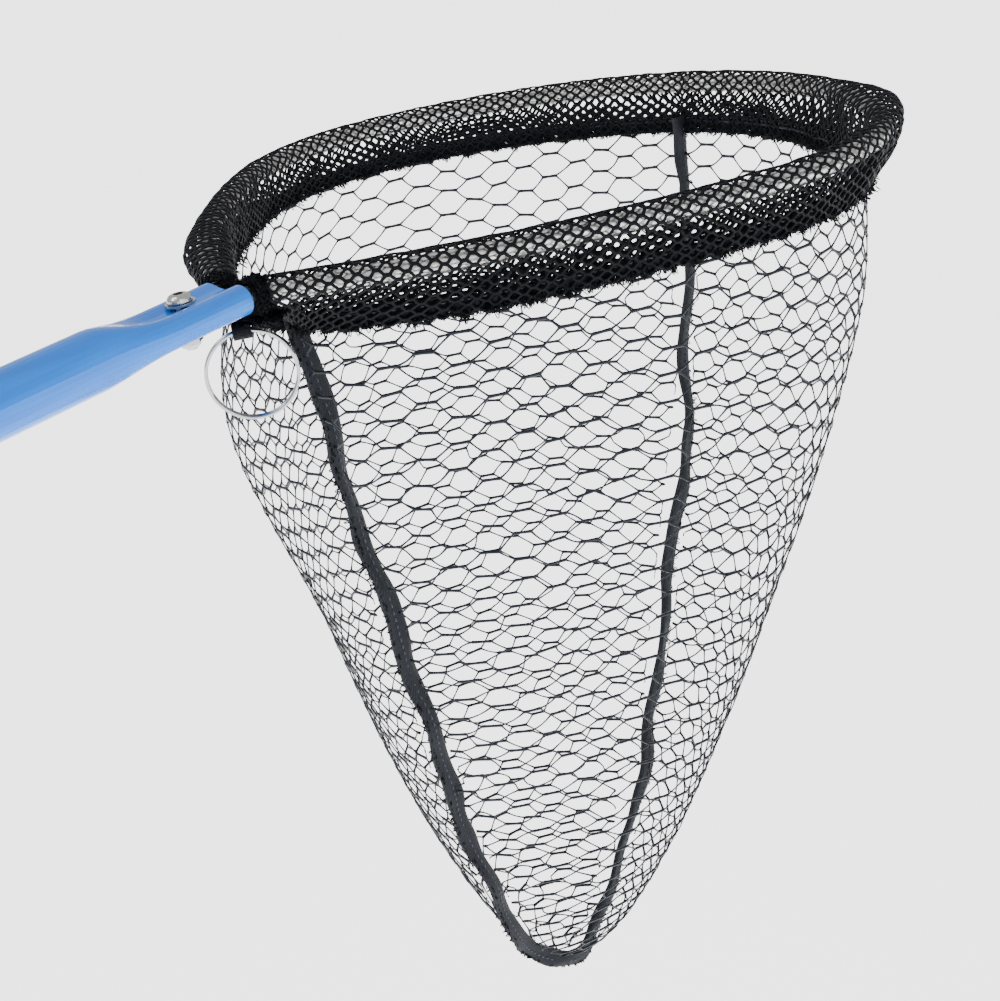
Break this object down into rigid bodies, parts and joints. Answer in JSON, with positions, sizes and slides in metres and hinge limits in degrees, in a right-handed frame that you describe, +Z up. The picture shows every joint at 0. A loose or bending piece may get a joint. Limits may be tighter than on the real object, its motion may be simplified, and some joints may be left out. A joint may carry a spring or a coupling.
{
  "type": "landing net",
  "caption": "Hand landing net: pressed aluminium tube handle, teardrop hoop in a knit sleeve, deep two-panel hexagonal net bag with a bound seam, and a swinging split ring.",
  "frame": {"origin": "middle of the hand hold, on the axis of the handle tube, 130 mm behind its pressed mouth", "axes": "+X from the hand to the tip of the hoop, +Z up and square to the hoop's plane, +Y to the left of a person who holds the handle; the hoop and the handle's axis lie in z = 0"},
  "size_m": [0.5982, 0.3738, 0.5011],
  "materials": {
    "handle_paint": "glossy bright blue coat on aluminium tube",
    "cap_plastic": "moulded black plug",
    "bare_aluminium": "drawn tube, satin",
    "stainless": "plain stainless fastener",
    "nylon_white": "nylon locking insert",
    "ring_steel": "bright plated spring wire",
    "knit_black": "open warp-knit polyester, black",
    "netting": "knotless hexagonal nylon netting, black",
    "binding_tape": "woven polyester binding, stitched"
  },
  "bodies": {
    "net": {"handle_tube": "handle_paint", "end_cap": "cap_plastic", "hoop_tube": "bare_aluminium", "cross_bolt": "stainless", "washer_top": "stainless", "washer_bottom": "stainless", "lock_nut": "stainless", "nut_insert": "nylon_white", "hoop_sleeve": "knit_black", "cuff_left": "knit_black", "cuff_right": "knit_black", "skirt_band": "knit_black", "crotch_gather": "knit_black", "ring_loop": "knit_black", "net_panel_left": "netting", "net_panel_right": "netting", "seam_tape": "binding_tape"},
    "ring": {"split_ring": "ring_steel"}
  },
  "joints": [
    {"name": "ring_swing", "type": "hinge", "parent": "net", "child": "ring", "pos_m": [0.137, 0.004, -0.0171], "axis": [-0.7071, 0.7071, 0], "range_deg": [-9, 70]}
  ]
}
